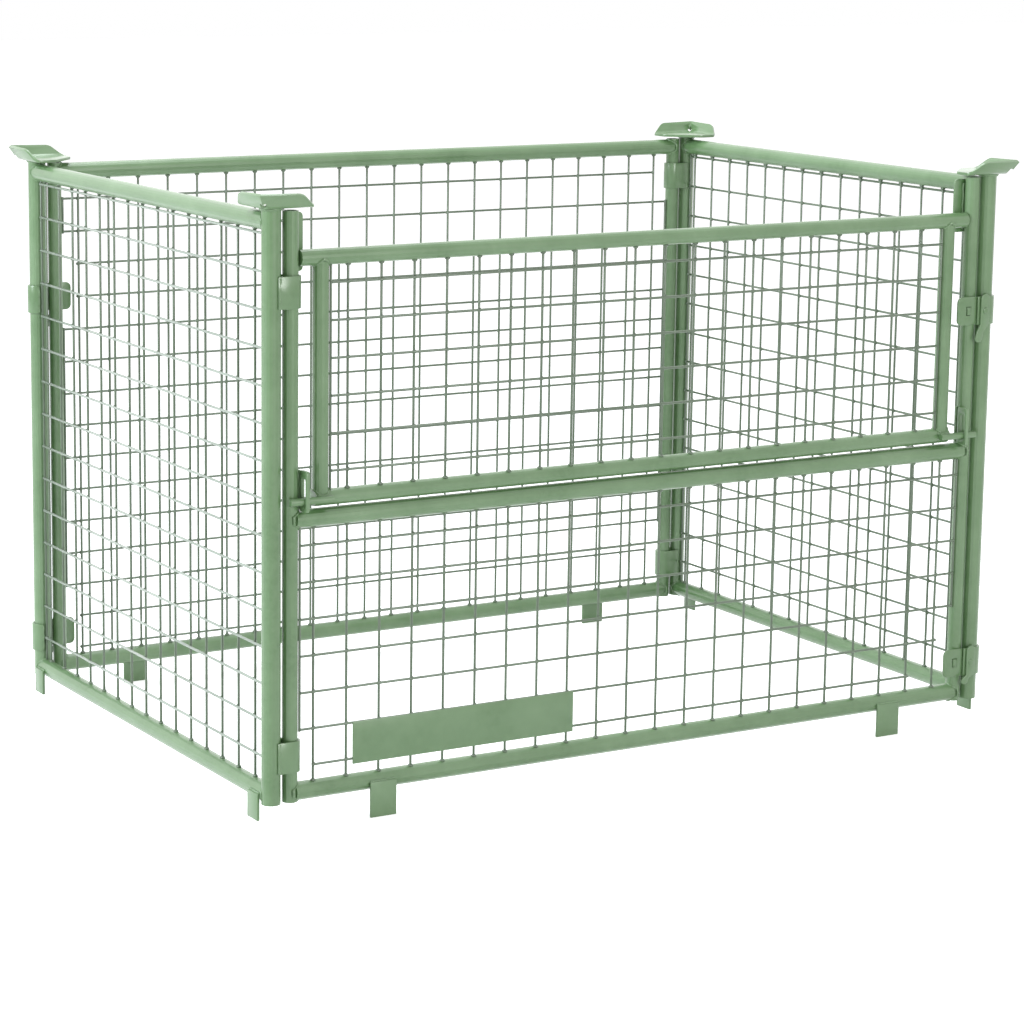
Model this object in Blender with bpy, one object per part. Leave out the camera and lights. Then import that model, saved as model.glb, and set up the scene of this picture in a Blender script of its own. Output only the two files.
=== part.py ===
"""Folding mesh collar for a 1200 x 800 mm pallet, as separate steel pieces.

Four tube frames filled with welded wire mesh stand around the edge of the pallet deck.
Two plain corners (front left and rear right) turn on straps bent round the posts of the
long walls. The other two corners carry a keeper, a strap and a turning lever each, twice.
The upper half of the front wall is a gate on two pins that ride in slotted plates.

Axes: X along the length, Y from front to back, Z up, Z = 0 at the foot of the tabs that
hang over the edge of the pallet. All sizes are in metres.
"""
import math

import bmesh
import bpy
from mathutils import Matrix, Vector

MM = 0.001

# The pallet that the collar stands on, and the fits between pieces.
PALLET_LENGTH = 1200 * MM
PALLET_WIDTH = 800 * MM
END_FIT = 4.3 * MM  # from the pallet's short edges to the tabs
SIDE_FIT = 2.3 * MM  # from its long edges to the tabs
SEAT = 0.3 * MM  # between two pieces that touch or are welded

# Tubes.
RAIL_RADIUS = 12.5 * MM
END_POST_RADIUS = 13 * MM
LONG_POST_RADIUS = 10.65 * MM
POST_WALL = 2 * MM
GATE_TUBE_RADIUS = 11 * MM
TUBE_SIDES = 20
POST_SPACING = 28 * MM  # between the two posts of a corner

# Heights above the deck, on which the posts stand.
TAB_DROP = 36 * MM
SIDE_TAB_DROP = 24 * MM
TOP_RAIL_HEIGHT = 777 * MM
MID_RAIL_HEIGHT = 383 * MM
POST_ABOVE_RAIL = 13.5 * MM
PLATE_CLEARANCE = 4.2 * MM  # from the long walls' posts up to the stacking plates' seat
GATE_SILL_GAP = 2.5 * MM
GATE_BELOW_TOP_RAIL = 49 * MM

# Welded mesh.
WIRE_RADIUS = 1.8 * MM
WIRE_SIDES = 6
WIRE_GAP = 0.3 * MM  # between the two layers of wires
MESH_PITCH = 50 * MM
FRONT_MESH_OFFSET = 4 * MM  # the front meshes lie a little towards the outside
# From the axis of the post, stile or rail to the first wire beside it.
FRONT_FIRST_WIRE = 33.5 * MM
FRONT_TOP_ROW = 35.3 * MM
REAR_FIRST_WIRE = 37.8 * MM
REAR_TOP_ROW = 42.4 * MM
GATE_FIRST_WIRE = 39 * MM
GATE_TOP_ROW = 33.3 * MM
SIDE_FIRST_WIRE = 49.5 * MM
SIDE_TOP_ROW = 17 * MM
LAST_WIRE_CLEARANCE = 15 * MM  # at least, from the last wire to the tube's surface
LAST_ROW_CLEARANCE = 4 * MM
LATCH_CUTOUT = 50 * MM  # rows nearer than this to a latch stop short of the post
BAND_CUTOUT = 30 * MM  # and so do rows this near to a plain corner's strap
WIRE_OVERHANG = 3 * MM

# Locating tabs.
TAB_THICKNESS = 4 * MM
TAB_ABOVE_DECK = 13 * MM
LONG_TAB_WIDTH = 40 * MM
LONG_TAB_INSET = 134.5 * MM  # from the post beside it
SIDE_TAB_WIDTH = 30 * MM
SIDE_TAB_INSET = 22.5 * MM

# Stacking plates on the end posts.
PLATE_THICKNESS = 4 * MM
PLATE_EDGE = 22 * MM  # from the post's axis out to the bend
PLATE_SIDE = 75 * MM
WING_REACH = 10 * MM
WING_RISE = 18 * MM
WING_SLANT = 21 * MM
PLATE_RELIEF_RADIUS = 4.5 * MM
PLATE_INNER_CUT = 45 * MM

# Straps that hinge the plain corners.
STRAP_THICKNESS = 3 * MM
HINGE_BAND_HEIGHT = 43 * MM
FRONT_BAND_BELOW_GATE_TOP = 43 * MM
REAR_BAND_BELOW_TOP_RAIL = 48.5 * MM
LOWER_BANDS = (63.5 * MM, 59 * MM)  # front and rear

# Latches of the other two corners.
LATCH_HEIGHT = 42 * MM
LATCH_ABOVE_GATE_MIDDLE = (25.5 * MM, 16.5 * MM)  # front and rear
LOWER_LATCH_HEIGHT = 60 * MM
KEEPER_NEAR = 4.9 * MM  # from the post's axis towards the end post
KEEPER_FAR = 30 * MM
KEEPER_CORNER = 8 * MM
KEEPER_WINDOW = (-14 * MM, -5 * MM)
KEEPER_WINDOW_HEIGHT = 13 * MM
STRAP_END_ANGLE = math.radians(45)
STRAP_ARM = 22.5 * MM
RIVET_INSET = 10.5 * MM  # from the end post's axis back towards the long post
RIVET_RADIUS = 3 * MM
RIVET_HEAD_RADIUS = 5 * MM
RIVET_HEAD_HEIGHT = 2 * MM
RIVET_CLEARANCE = 0.4 * MM
LEVER_THICKNESS = 3 * MM
LEVER_HALF_WIDTH = 8 * MM
LEVER_HEAD_RISE = 25 * MM
LEVER_SHOULDER = 20 * MM
LEVER_TAIL_RADIUS = 6.5 * MM
LEVER_TAIL_SHIFT = 10.5 * MM
LEVER_TAILS = (47 * MM, 34 * MM)  # upper and lower levers, rivet to tail end

# Gate and its fittings.
STILE_INSET = 44.5 * MM  # from the post beside it
GATE_END_CLEARANCE = 1.5 * MM
PIN_RADIUS = 5 * MM
PIN_OVERHANG = 8.5 * MM  # past the post's axis
GATE_LIFT = 27 * MM
SLOT_CLEARANCE = 0.5 * MM
PIVOT_THICKNESS = 5 * MM
PIVOT_FRONT_LAND = 4 * MM
PIVOT_END_LAND = 8.5 * MM
PIVOT_BACK = -5 * MM
PIVOT_CORNER = 4 * MM
STOP_THICKNESS = 3 * MM
STOP_LAP = 12 * MM  # of the gate rail over the stop
STOP_BELOW_GATE_TOP = 19 * MM
STOP_BELOW_POST_TOP = 3.5 * MM
STOP_CORNER = 6 * MM

# The bare plate on the front mesh.
SIGN_WIDTH = 350 * MM
SIGN_HEIGHT = 58 * MM
SIGN_THICKNESS = 2 * MM
SIGN_INSET = 90.5 * MM  # from the left post
SIGN_HEIGHT_ABOVE_DECK = 70 * MM

# Places that follow from the sizes above.
DECK = TAB_DROP
WALL_X = PALLET_LENGTH / 2 + END_FIT - SEAT - RAIL_RADIUS
WALL_Y = PALLET_WIDTH / 2 + SIDE_FIT - SEAT - RAIL_RADIUS
HINGE_X = WALL_X - POST_SPACING
LONG_POST_HEIGHT = TOP_RAIL_HEIGHT + POST_ABOVE_RAIL
END_POST_HEIGHT = LONG_POST_HEIGHT + PLATE_CLEARANCE
GATE_BOTTOM_HEIGHT = MID_RAIL_HEIGHT + RAIL_RADIUS + GATE_SILL_GAP + GATE_TUBE_RADIUS
GATE_TOP_HEIGHT = TOP_RAIL_HEIGHT - GATE_BELOW_TOP_RAIL
GATE_MIDDLE = (GATE_BOTTOM_HEIGHT + GATE_TOP_HEIGHT) / 2
STILE_PLACE = HINGE_X - STILE_INSET
FRONT_BAND_HEIGHTS = (GATE_TOP_HEIGHT - FRONT_BAND_BELOW_GATE_TOP, LOWER_BANDS[0])
REAR_BAND_HEIGHTS = (TOP_RAIL_HEIGHT - REAR_BAND_BELOW_TOP_RAIL, LOWER_BANDS[1])
FRONT_LATCH_HEIGHTS = (GATE_MIDDLE + LATCH_ABOVE_GATE_MIDDLE[0], LOWER_LATCH_HEIGHT)
REAR_LATCH_HEIGHTS = (GATE_MIDDLE + LATCH_ABOVE_GATE_MIDDLE[1], LOWER_LATCH_HEIGHT)
LAYER_UP = WIRE_RADIUS + WIRE_GAP / 2  # vertical wires, from the middle of the mesh
LAYER_ACROSS = WIRE_RADIUS * math.cos(math.pi / WIRE_SIDES) + WIRE_GAP / 2
PIN_OFFSET = GATE_TUBE_RADIUS + SEAT + PIN_RADIUS
BAND_INNER = LONG_POST_RADIUS + SEAT
BAND_OUTER = BAND_INNER + STRAP_THICKNESS
STRAP_INNER = END_POST_RADIUS + SEAT
STRAP_OUTER = STRAP_INNER + STRAP_THICKNESS

GREEN = (0.26, 0.43, 0.26, 1.0)


def reset_scene():
    for old in list(bpy.data.objects):
        bpy.data.objects.remove(old, do_unlink=True)


def paint(obj):
    """The washed green paint, as this object's own material."""
    material = bpy.data.materials.new(obj.name + "_paint")
    material.use_nodes = True
    shader = material.node_tree.nodes["Principled BSDF"]
    shader.inputs["Base Color"].default_value = GREEN
    shader.inputs["Roughness"].default_value = 0.45
    shader.inputs["Metallic"].default_value = 0.0
    obj.data.materials.clear()
    obj.data.materials.append(material)


def from_bmesh(name, bm):
    bmesh.ops.recalc_face_normals(bm, faces=bm.faces)
    mesh = bpy.data.meshes.new(name)
    bm.to_mesh(mesh)
    bm.free()
    obj = bpy.data.objects.new(name, mesh)
    bpy.context.scene.collection.objects.link(obj)
    return obj


def basis(direction):
    """Two unit vectors square to the direction, the first as level as it can be."""
    up = Vector((0, 0, 1)) if abs(direction.z) < 0.9 else Vector((1, 0, 0))
    side = direction.cross(up).normalized()
    return side, side.cross(direction).normalized()


def add_rod(bm, start, end, radius, sides, turn=0.0):
    """A closed prism of the given number of sides, from start to end."""
    start, end = Vector(start), Vector(end)
    side, up = basis((end - start).normalized())
    rings = []
    for point in (start, end):
        ring = []
        for k in range(sides):
            angle = 2 * math.pi * k / sides + turn
            out = side * math.cos(angle) + up * math.sin(angle)
            ring.append(bm.verts.new(point + out * radius))
        rings.append(ring)
    for k in range(sides):
        n = (k + 1) % sides
        bm.faces.new((rings[0][k], rings[0][n], rings[1][n], rings[1][k]))
    bm.faces.new(list(reversed(rings[0])))
    bm.faces.new(rings[1])


def rod(name, start, end, radius, sides=TUBE_SIDES, turn=0.0):
    bm = bmesh.new()
    add_rod(bm, start, end, radius, sides, turn)
    return from_bmesh(name, bm)


def open_tube(name, x, y, bottom, top, radius, wall):
    """An upright tube with open ends."""
    bm = bmesh.new()
    loops = []
    for z, r in ((bottom, radius), (top, radius), (top, radius - wall), (bottom, radius - wall)):
        loop = []
        for k in range(TUBE_SIDES):
            angle = 2 * math.pi * k / TUBE_SIDES
            loop.append(bm.verts.new((x + r * math.cos(angle), y + r * math.sin(angle), z)))
        loops.append(loop)
    for a, b in zip(loops, loops[1:] + loops[:1]):
        for k in range(TUBE_SIDES):
            n = (k + 1) % TUBE_SIDES
            bm.faces.new((a[k], a[n], b[n], b[k]))
    return from_bmesh(name, bm)


def extrusion(name, outline, origin, first, second, depth):
    """The outline, drawn along the first and second directions, pushed through the depth."""
    first, second = Vector(first), Vector(second)
    through = first.cross(second)
    low, high = depth
    bm = bmesh.new()
    rings = []
    for level in (low, high):
        base = Vector(origin) + through * level
        rings.append([bm.verts.new(base + first * u + second * v) for u, v in outline])
    count = len(outline)
    for k in range(count):
        n = (k + 1) % count
        bm.faces.new((rings[0][k], rings[0][n], rings[1][n], rings[1][k]))
    bm.faces.new(list(reversed(rings[0])))
    bm.faces.new(rings[1])
    return from_bmesh(name, bm)


def block(name, low, high):
    size = Vector(high) - Vector(low)
    outline = ((0, 0), (size.x, 0), (size.x, size.y), (0, size.y))
    return extrusion(name, outline, low, (1, 0, 0), (0, 1, 0), (0, size.z))


def arc(center, radius, start, end, steps):
    return [
        (
            center[0] + radius * math.cos(start + (end - start) * k / steps),
            center[1] + radius * math.sin(start + (end - start) * k / steps),
        )
        for k in range(steps + 1)
    ]


def rounded_rectangle(low, high, corner, steps=3):
    """A rectangle with four rounded corners, anticlockwise from the lower right."""
    (x0, y0), (x1, y1) = low, high
    quarter = math.pi / 2
    points = []
    points += arc((x1 - corner, y0 + corner), corner, -quarter, 0, steps)
    points += arc((x1 - corner, y1 - corner), corner, 0, quarter, steps)
    points += arc((x0 + corner, y1 - corner), corner, quarter, 2 * quarter, steps)
    points += arc((x0 + corner, y0 + corner), corner, 2 * quarter, 3 * quarter, steps)
    return points


def combine(obj, tools, operation, own_overlaps=False):
    """Cut the tools out of the object, or join them to it, and drop the tools."""
    for tool in tools:
        modifier = obj.modifiers.new(operation.lower(), "BOOLEAN")
        modifier.operation = operation
        modifier.solver = "EXACT"
        modifier.use_self = own_overlaps
        modifier.object = tool
    depsgraph = bpy.context.evaluated_depsgraph_get()
    result = bpy.data.meshes.new_from_object(obj.evaluated_get(depsgraph))
    obj.modifiers.clear()
    old = obj.data
    obj.data = result
    bpy.data.meshes.remove(old)
    for tool in tools:
        bpy.data.objects.remove(tool, do_unlink=True)
    return obj


def frame(name, place, parent=None):
    """An empty on a joint's axis, which carries the pieces that move with it."""
    empty = bpy.data.objects.new(name, None)
    bpy.context.scene.collection.objects.link(empty)
    empty.empty_display_size = 0.05
    empty["place"] = list(place)
    base = Vector(parent["place"]) if parent else Vector((0, 0, 0))
    empty.parent = parent
    empty.location = Vector(place) - base
    return empty


def seat(obj, parent, origin=None, smooth=True):
    """Give the object its origin and its parent, where it was modelled."""
    base = Vector(parent["place"])
    origin = Vector(origin) if origin else base
    obj.data.transform(Matrix.Translation(-origin))
    obj.parent = parent
    obj.location = origin - base
    if smooth:
        obj.data.shade_smooth()
        obj.data.set_sharp_from_angle(angle=math.radians(40))
    paint(obj)
    return obj


def long_post(name, parent, x, y):
    post = open_tube(name, x, y, DECK, DECK + LONG_POST_HEIGHT, LONG_POST_RADIUS, POST_WALL)
    return seat(post, parent, (x, y, DECK))


def end_post(name, parent, x, y):
    post = open_tube(name, x, y, DECK, DECK + END_POST_HEIGHT, END_POST_RADIUS, POST_WALL)
    return seat(post, parent, (x, y, DECK))


def post_saddle(x, y, z, radius):
    """The cutter that hollows a rail's end to lie round a post."""
    reach = 2 * RAIL_RADIUS
    return rod("saddle", (x, y, z - reach), (x, y, z + reach), radius + SEAT)


def long_rail(name, parent, y, height):
    """A rail between the two posts of a long wall, with hollowed ends."""
    z = DECK + height
    end = HINGE_X - LONG_POST_RADIUS / 2
    rail = rod(name, (-end, y, z), (end, y, z), RAIL_RADIUS)
    saddles = [post_saddle(side * HINGE_X, y, z, LONG_POST_RADIUS) for side in (-1, 1)]
    return seat(combine(rail, saddles, "DIFFERENCE"), parent, (0, y, z))


def side_rail(name, parent, x, height):
    """A rail between the two posts of an end wall, with hollowed ends."""
    z = DECK + height
    end = WALL_Y - END_POST_RADIUS / 2
    rail = rod(name, (x, -end, z), (x, end, z), RAIL_RADIUS)
    saddles = [post_saddle(x, side * WALL_Y, z, END_POST_RADIUS) for side in (-1, 1)]
    return seat(combine(rail, saddles, "DIFFERENCE"), parent, (x, 0, z))


def mesh_panel(name, parent, origin, along, outward, columns, rows, ties_up, ties_across):
    """Welded mesh in one body.

    Inner wires lie in two layers, uprights inside and rows outside. The ties at the
    border lie between the layers and run into both. A wire is (place, start, end).
    """
    origin, along, outward = Vector(origin), Vector(along), Vector(outward)
    up = Vector((0, 0, 1))
    flat = math.pi / WIRE_SIDES

    def lay(upright, across, layer_up, layer_across):
        bm = bmesh.new()
        for place, start, end in upright:
            base = origin + along * place - outward * layer_up
            add_rod(bm, base + up * start, base + up * end, WIRE_RADIUS, WIRE_SIDES, 0)
        for place, start, end in across:
            base = origin + up * place + outward * layer_across
            add_rod(bm, base + along * start, base + along * end, WIRE_RADIUS, WIRE_SIDES, 0)
        return bm

    panel = from_bmesh(name, lay(ties_up, ties_across, 0, 0))
    wires = from_bmesh(name + "_wires", lay(columns, rows, LAYER_UP, LAYER_ACROSS))
    return seat(combine(panel, [wires], "UNION", own_overlaps=True), parent, smooth=False)


def series(first, last, pitch=MESH_PITCH):
    """Places at an even pitch from the first, up or down, as far as the last allows."""
    count = math.floor(abs(last - first) / pitch + 1e-6) + 1
    return [first + math.copysign(pitch, last - first) * k for k in range(count)]


def rows_near(rows, heights, distance):
    """The numbers of the rows that lie beside a latch or a strap."""
    return {k for k, row in enumerate(rows) if any(abs(row - h) < distance for h in heights)}


def edge_wire_place(post_radius, offset=0.0):
    """How far from a post's axis the wire beside it lies."""
    reach = post_radius + SEAT + WIRE_RADIUS
    return math.sqrt(reach * reach - offset * offset)


def long_wires(first_wire, top_row):
    """The places of the uprights and the rows of a mesh between a long wall's posts."""
    last = HINGE_X - LONG_POST_RADIUS - LAST_WIRE_CLEARANCE
    lowest = 2 * RAIL_RADIUS + LAST_ROW_CLEARANCE
    return series(first_wire - HINGE_X, last), series(top_row, lowest)


def rear_mesh(parent):
    bottom = 2 * RAIL_RADIUS + SEAT
    top = TOP_RAIL_HEIGHT - RAIL_RADIUS - SEAT
    edge = HINGE_X - edge_wire_place(LONG_POST_RADIUS)
    places, rows = long_wires(REAR_FIRST_WIRE, TOP_RAIL_HEIGHT - REAR_TOP_ROW)
    left_stop, right_stop = places[0] - WIRE_OVERHANG, places[-1] + WIRE_OVERHANG
    short_left = rows_near(rows, REAR_LATCH_HEIGHTS, LATCH_CUTOUT)
    short_right = rows_near(rows, REAR_BAND_HEIGHTS, BAND_CUTOUT)

    spans = []
    for k, height in enumerate(rows):
        start = left_stop if k in short_left else -edge
        end = right_stop if k in short_right else edge
        spans.append((height, start, end))

    def edge_runs(side, short):
        """The wire beside the post runs between the rows that reach it."""
        runs = []
        for k, height in enumerate(rows):
            if k in short:
                continue
            if runs and k - 1 not in short:
                runs[-1][0] = height
            else:
                runs.append([height, height])
        return [(side * edge, low - WIRE_OVERHANG, high + WIRE_OVERHANG) for low, high in runs]

    border = {0, len(rows) - 1} | (short_left & short_right)
    # One row at least has to join the uprights to the wires beside the posts.
    joined = [
        k for k in border for short in (short_left, short_right)
        for n in (k - 1, k + 1)
        if n in set(range(len(rows))) - border and not {k, n} & short
    ]
    if not joined:
        border.add(min(set(range(len(rows))) - short_left - short_right))
    ties_across = [span for k, span in enumerate(spans) if k in border]
    inner = [span for k, span in enumerate(spans) if k not in border]
    ties_up = edge_runs(-1, short_left) + edge_runs(1, short_right)
    columns = [(x, bottom, top) for x in places]
    return mesh_panel(
        "rear_mesh", parent, (0, WALL_Y, DECK), (1, 0, 0), (0, 1, 0),
        columns, inner, ties_up, ties_across,
    )


def front_mesh(parent):
    bottom = 2 * RAIL_RADIUS + SEAT
    top = MID_RAIL_HEIGHT - RAIL_RADIUS - SEAT
    edge = HINGE_X - edge_wire_place(LONG_POST_RADIUS, FRONT_MESH_OFFSET)
    places, rows = long_wires(FRONT_FIRST_WIRE, MID_RAIL_HEIGHT - FRONT_TOP_ROW)
    # The two lowest corners are cut out, round the strap and the latch.
    lowest = len(rows) - 1
    cut_left = FRONT_BAND_HEIGHTS[1] + BAND_CUTOUT
    cut_right = FRONT_LATCH_HEIGHTS[1] + LATCH_CUTOUT
    short_left = {k for k, row in enumerate(rows) if row < cut_left}
    short_right = {k for k, row in enumerate(rows) if row < cut_right}
    spans = []
    for k, height in enumerate(rows):
        start = places[0] - WIRE_OVERHANG if k in short_left else -edge
        end = edge
        if k in short_right:
            end = places[-2 if k == lowest else -1] + WIRE_OVERHANG
        spans.append((height, start, end))
    ties_up = [
        (-edge, rows[lowest - len(short_left)] - WIRE_OVERHANG, top),
        (edge, rows[lowest - len(short_right)] - WIRE_OVERHANG, top),
    ]
    border = {0, lowest} | (short_left & short_right)
    ties_across = [span for k, span in enumerate(spans) if k in border]
    inner = [span for k, span in enumerate(spans) if k not in border]
    columns = [(x, bottom, top) for x in places]
    return mesh_panel(
        "front_mesh", parent, (0, -WALL_Y - FRONT_MESH_OFFSET, DECK), (1, 0, 0), (0, -1, 0),
        columns, inner, ties_up, ties_across,
    )


def gate_mesh(parent):
    bottom = GATE_BOTTOM_HEIGHT + GATE_TUBE_RADIUS + SEAT
    top = GATE_TOP_HEIGHT - GATE_TUBE_RADIUS - SEAT
    edge = STILE_PLACE - edge_wire_place(GATE_TUBE_RADIUS, FRONT_MESH_OFFSET)
    last = STILE_PLACE - GATE_TUBE_RADIUS - LAST_WIRE_CLEARANCE
    lowest = GATE_BOTTOM_HEIGHT + GATE_TUBE_RADIUS + LAST_ROW_CLEARANCE
    rows = series(GATE_TOP_HEIGHT - GATE_TOP_ROW, lowest)
    spans = [(h, -edge, edge) for h in rows]
    columns = [(x, bottom, top) for x in series(GATE_FIRST_WIRE - STILE_PLACE, last)]
    ties_up = [(side * edge, bottom, top) for side in (-1, 1)]
    return mesh_panel(
        "gate_mesh", parent, (0, -WALL_Y - FRONT_MESH_OFFSET, DECK), (1, 0, 0), (0, -1, 0),
        columns, spans[1:-1], ties_up, [spans[0], spans[-1]],
    )


def side_mesh(name, parent, side):
    bottom = 2 * RAIL_RADIUS + SEAT
    top = TOP_RAIL_HEIGHT - RAIL_RADIUS - SEAT
    edge = WALL_Y - edge_wire_place(END_POST_RADIUS)
    last = WALL_Y - END_POST_RADIUS - LAST_WIRE_CLEARANCE
    lowest = 2 * RAIL_RADIUS + LAST_ROW_CLEARANCE
    spans = [(h, -edge, edge) for h in series(TOP_RAIL_HEIGHT - SIDE_TOP_ROW, lowest)]
    columns = [(y, bottom, top) for y in series(SIDE_FIRST_WIRE - WALL_Y, last)]
    ties_up = [(end * edge, bottom, top) for end in (-1, 1)]
    return mesh_panel(
        name, parent, (side * WALL_X, 0, DECK), (0, 1, 0), (side, 0, 0),
        columns, spans[1:-1], ties_up, [spans[0], spans[-1]],
    )


def long_tab(name, parent, x, side):
    """A flat tab welded to the outside of a long wall's bottom rail."""
    inner = side * (WALL_Y + RAIL_RADIUS + SEAT)
    outer = inner + side * TAB_THICKNESS
    low = (x - LONG_TAB_WIDTH / 2, min(inner, outer), 0)
    high = (x + LONG_TAB_WIDTH / 2, max(inner, outer), DECK + TAB_ABOVE_DECK)
    return seat(block(name, low, high), parent, (x, inner, 0), smooth=False)


def side_tab(name, parent, side, y):
    """A flat tab welded to the outside of an end wall's bottom rail."""
    inner = side * (WALL_X + RAIL_RADIUS + SEAT)
    outer = inner + side * TAB_THICKNESS
    foot = DECK - SIDE_TAB_DROP
    low = (min(inner, outer), y - SIDE_TAB_WIDTH / 2, foot)
    high = (max(inner, outer), y + SIDE_TAB_WIDTH / 2, DECK + TAB_ABOVE_DECK)
    return seat(block(name, low, high), parent, (inner, y, foot), smooth=False)


def stack_plate(name, parent, side, end):
    """A bent plate on an end post: a level base and two wings that rise outwards."""
    x, y, z = side * WALL_X, end * WALL_Y, DECK + END_POST_HEIGHT + SEAT
    edge, inner = PLATE_EDGE, PLATE_EDGE - PLATE_SIDE
    cut = PLATE_INNER_CUT
    tip = edge + WING_REACH

    def spot(u, v, w=0.0):
        return (x + side * u, y + end * v, z + w)

    bm = bmesh.new()
    corner = bm.verts.new(spot(edge, edge))
    far_x = bm.verts.new(spot(inner, edge))
    far_y = bm.verts.new(spot(edge, inner))
    base = [corner, far_x]
    base.append(bm.verts.new(spot(inner, edge - (PLATE_SIDE - cut))))
    base.append(bm.verts.new(spot(edge - (PLATE_SIDE - cut), inner)))
    base.append(far_y)
    top = bm.verts.new(spot(tip, tip, WING_RISE))
    end_x = bm.verts.new(spot(inner + WING_SLANT, tip, WING_RISE))
    end_y = bm.verts.new(spot(tip, inner + WING_SLANT, WING_RISE))
    bm.faces.new(base)
    bm.faces.new((corner, far_x, end_x, top))
    bm.faces.new((corner, top, end_y, far_y))
    plate = from_bmesh(name, bm)
    if plate.data.polygons[0].normal.z < 0:
        plate.data.flip_normals()
    solid = plate.modifiers.new("sheet", "SOLIDIFY")
    solid.thickness = PLATE_THICKNESS
    solid.offset = 1
    solid.use_even_offset = True
    low = spot(edge, edge, -2 * PLATE_THICKNESS)
    relief = rod(
        "relief", low, (low[0], low[1], z + 4 * PLATE_THICKNESS), PLATE_RELIEF_RADIUS, 10
    )
    combine(plate, [relief], "DIFFERENCE")
    return seat(plate, parent, (x, y, z), smooth=False)


def hinge_band(name, parent, side, end, height):
    """A strap bent round the long wall's post and welded to the end post beside it."""
    x, y = side * HINGE_X, end * WALL_Y
    reach = END_POST_RADIUS + SEAT
    across = math.sqrt(reach * reach - BAND_INNER * BAND_INNER)
    inner_end = POST_SPACING - across
    outer_end = inner_end + STRAP_THICKNESS * BAND_INNER / across
    half = math.pi / 2
    outline = [(outer_end, -BAND_OUTER)]
    outline += arc((0, 0), BAND_OUTER, -half, -3 * half, 10)
    outline += [(outer_end, BAND_OUTER), (inner_end, BAND_INNER)]
    outline += arc((0, 0), BAND_INNER, half, 3 * half, 10)
    outline += [(inner_end, -BAND_INNER)]
    z = DECK + height
    depth = (-HINGE_BAND_HEIGHT / 2, HINGE_BAND_HEIGHT / 2)
    band = extrusion(name, outline, (x, y, z), (side, 0, 0), (0, side, 0), depth)
    return seat(band, parent, (x, y, z))


def keeper(name, parent, side, end, height):
    """A flat plate welded to the outside of the long wall's post, with a window."""
    x, y, z = side * HINGE_X, end * WALL_Y, DECK + height
    turn = -end  # the front plate, or the same turned half round for the rear
    half, corner = LATCH_HEIGHT / 2, KEEPER_CORNER
    quarter = math.pi / 2
    outline = [(KEEPER_NEAR, -half), (KEEPER_NEAR, half)]
    outline += arc((-KEEPER_FAR + corner, half - corner), corner, quarter, 2 * quarter, 4)
    outline += arc((-KEEPER_FAR + corner, -half + corner), corner, 2 * quarter, 3 * quarter, 4)
    # Drawn in X and Z, pushed outwards: along -Y at the front and +Y at the rear.
    depth = (BAND_INNER, BAND_OUTER)
    place = (x, y, z)
    plate = extrusion(name, outline, place, (turn, 0, 0), (0, 0, 1), depth)
    near, far = KEEPER_WINDOW
    rise = KEEPER_WINDOW_HEIGHT / 2
    window = ((near, -rise), (far, -rise), (far, rise), (near, rise))
    depth = (BAND_INNER / 2, 2 * BAND_OUTER)
    combine(plate, [extrusion("window", window, place, (turn, 0, 0), (0, 0, 1), depth)], "DIFFERENCE")
    return seat(plate, parent, place)


def latch_strap(name, parent, side, end, height):
    """A strap round the end post, whose arm carries the lever."""
    x, y, z = side * WALL_X, end * WALL_Y, DECK + height
    quarter = math.pi / 2
    outline = arc((0, 0), STRAP_OUTER, STRAP_END_ANGLE, -quarter, 10)
    outline += [(-STRAP_ARM, -STRAP_OUTER), (-STRAP_ARM, -STRAP_INNER)]
    outline += arc((0, 0), STRAP_INNER, -quarter, STRAP_END_ANGLE, 10)
    turn = -end
    half = LATCH_HEIGHT / 2
    piece = extrusion(
        name, outline, (x, y, z), (turn, 0, 0), (0, turn, 0), (-half, half)
    )
    hole_x = x - turn * RIVET_INSET
    hole = rod(
        "hole", (hole_x, y - turn * STRAP_INNER / 2, z),
        (hole_x, y - turn * 2 * STRAP_OUTER, z), RIVET_RADIUS + RIVET_CLEARANCE, 10,
    )
    combine(piece, [hole], "DIFFERENCE")
    return seat(piece, parent, (x, y, z))


def latch_lever(name, parent, side, end, height, tail):
    """The turning lever: round head, shoulder, curved tail and its rivet."""
    turn = -end
    x, z = side * WALL_X - turn * RIVET_INSET, DECK + height
    back = STRAP_OUTER + SEAT
    front = back + LEVER_THICKNESS
    w, r = LEVER_HALF_WIDTH, LEVER_TAIL_RADIUS
    shift, shoulder = LEVER_TAIL_SHIFT, LEVER_SHOULDER
    center = tail - r
    drop = center - shoulder
    outline = arc((0, LEVER_HEAD_RISE - w), w, 0, math.pi, 8)
    outline += [(-w, -shoulder), (-w - (shift + r - w) * 0.55, -shoulder - drop * 0.4)]
    outline += arc((-shift, -center), r, math.pi, 2 * math.pi, 7)
    outline += [(-shift + r + w / 4, -shoulder - drop * 0.55), (w * 0.625, -shoulder - drop * 0.15)]
    outline += [(w, -shoulder * 0.9)]
    y = end * WALL_Y
    base = (x, y, z)
    # Drawn in X and Z, pushed outwards: along -Y at the front and +Y at the rear.
    lever = extrusion(name, outline, base, (turn, 0, 0), (0, 0, 1), (back, front))
    shank_start = y - turn * (END_POST_RADIUS + SEAT)
    head = y - turn * (front + RIVET_HEAD_HEIGHT)
    shank = rod("shank", (x, shank_start, z), (x, y - turn * (back + front) / 2, z), RIVET_RADIUS, 10)
    cap = rod("cap", (x, y - turn * (back + front) / 2, z), (x, head, z), RIVET_HEAD_RADIUS, 12)
    combine(lever, [shank, cap], "UNION")
    return seat(lever, parent, (x, y - turn * back, z))


def gate_top_rail(parent):
    end = HINGE_X - LONG_POST_RADIUS - GATE_END_CLEARANCE
    z = DECK + GATE_TOP_HEIGHT
    rail = rod("gate_top_rail", (-end, -WALL_Y, z), (end, -WALL_Y, z), GATE_TUBE_RADIUS)
    return seat(rail, parent)


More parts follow.
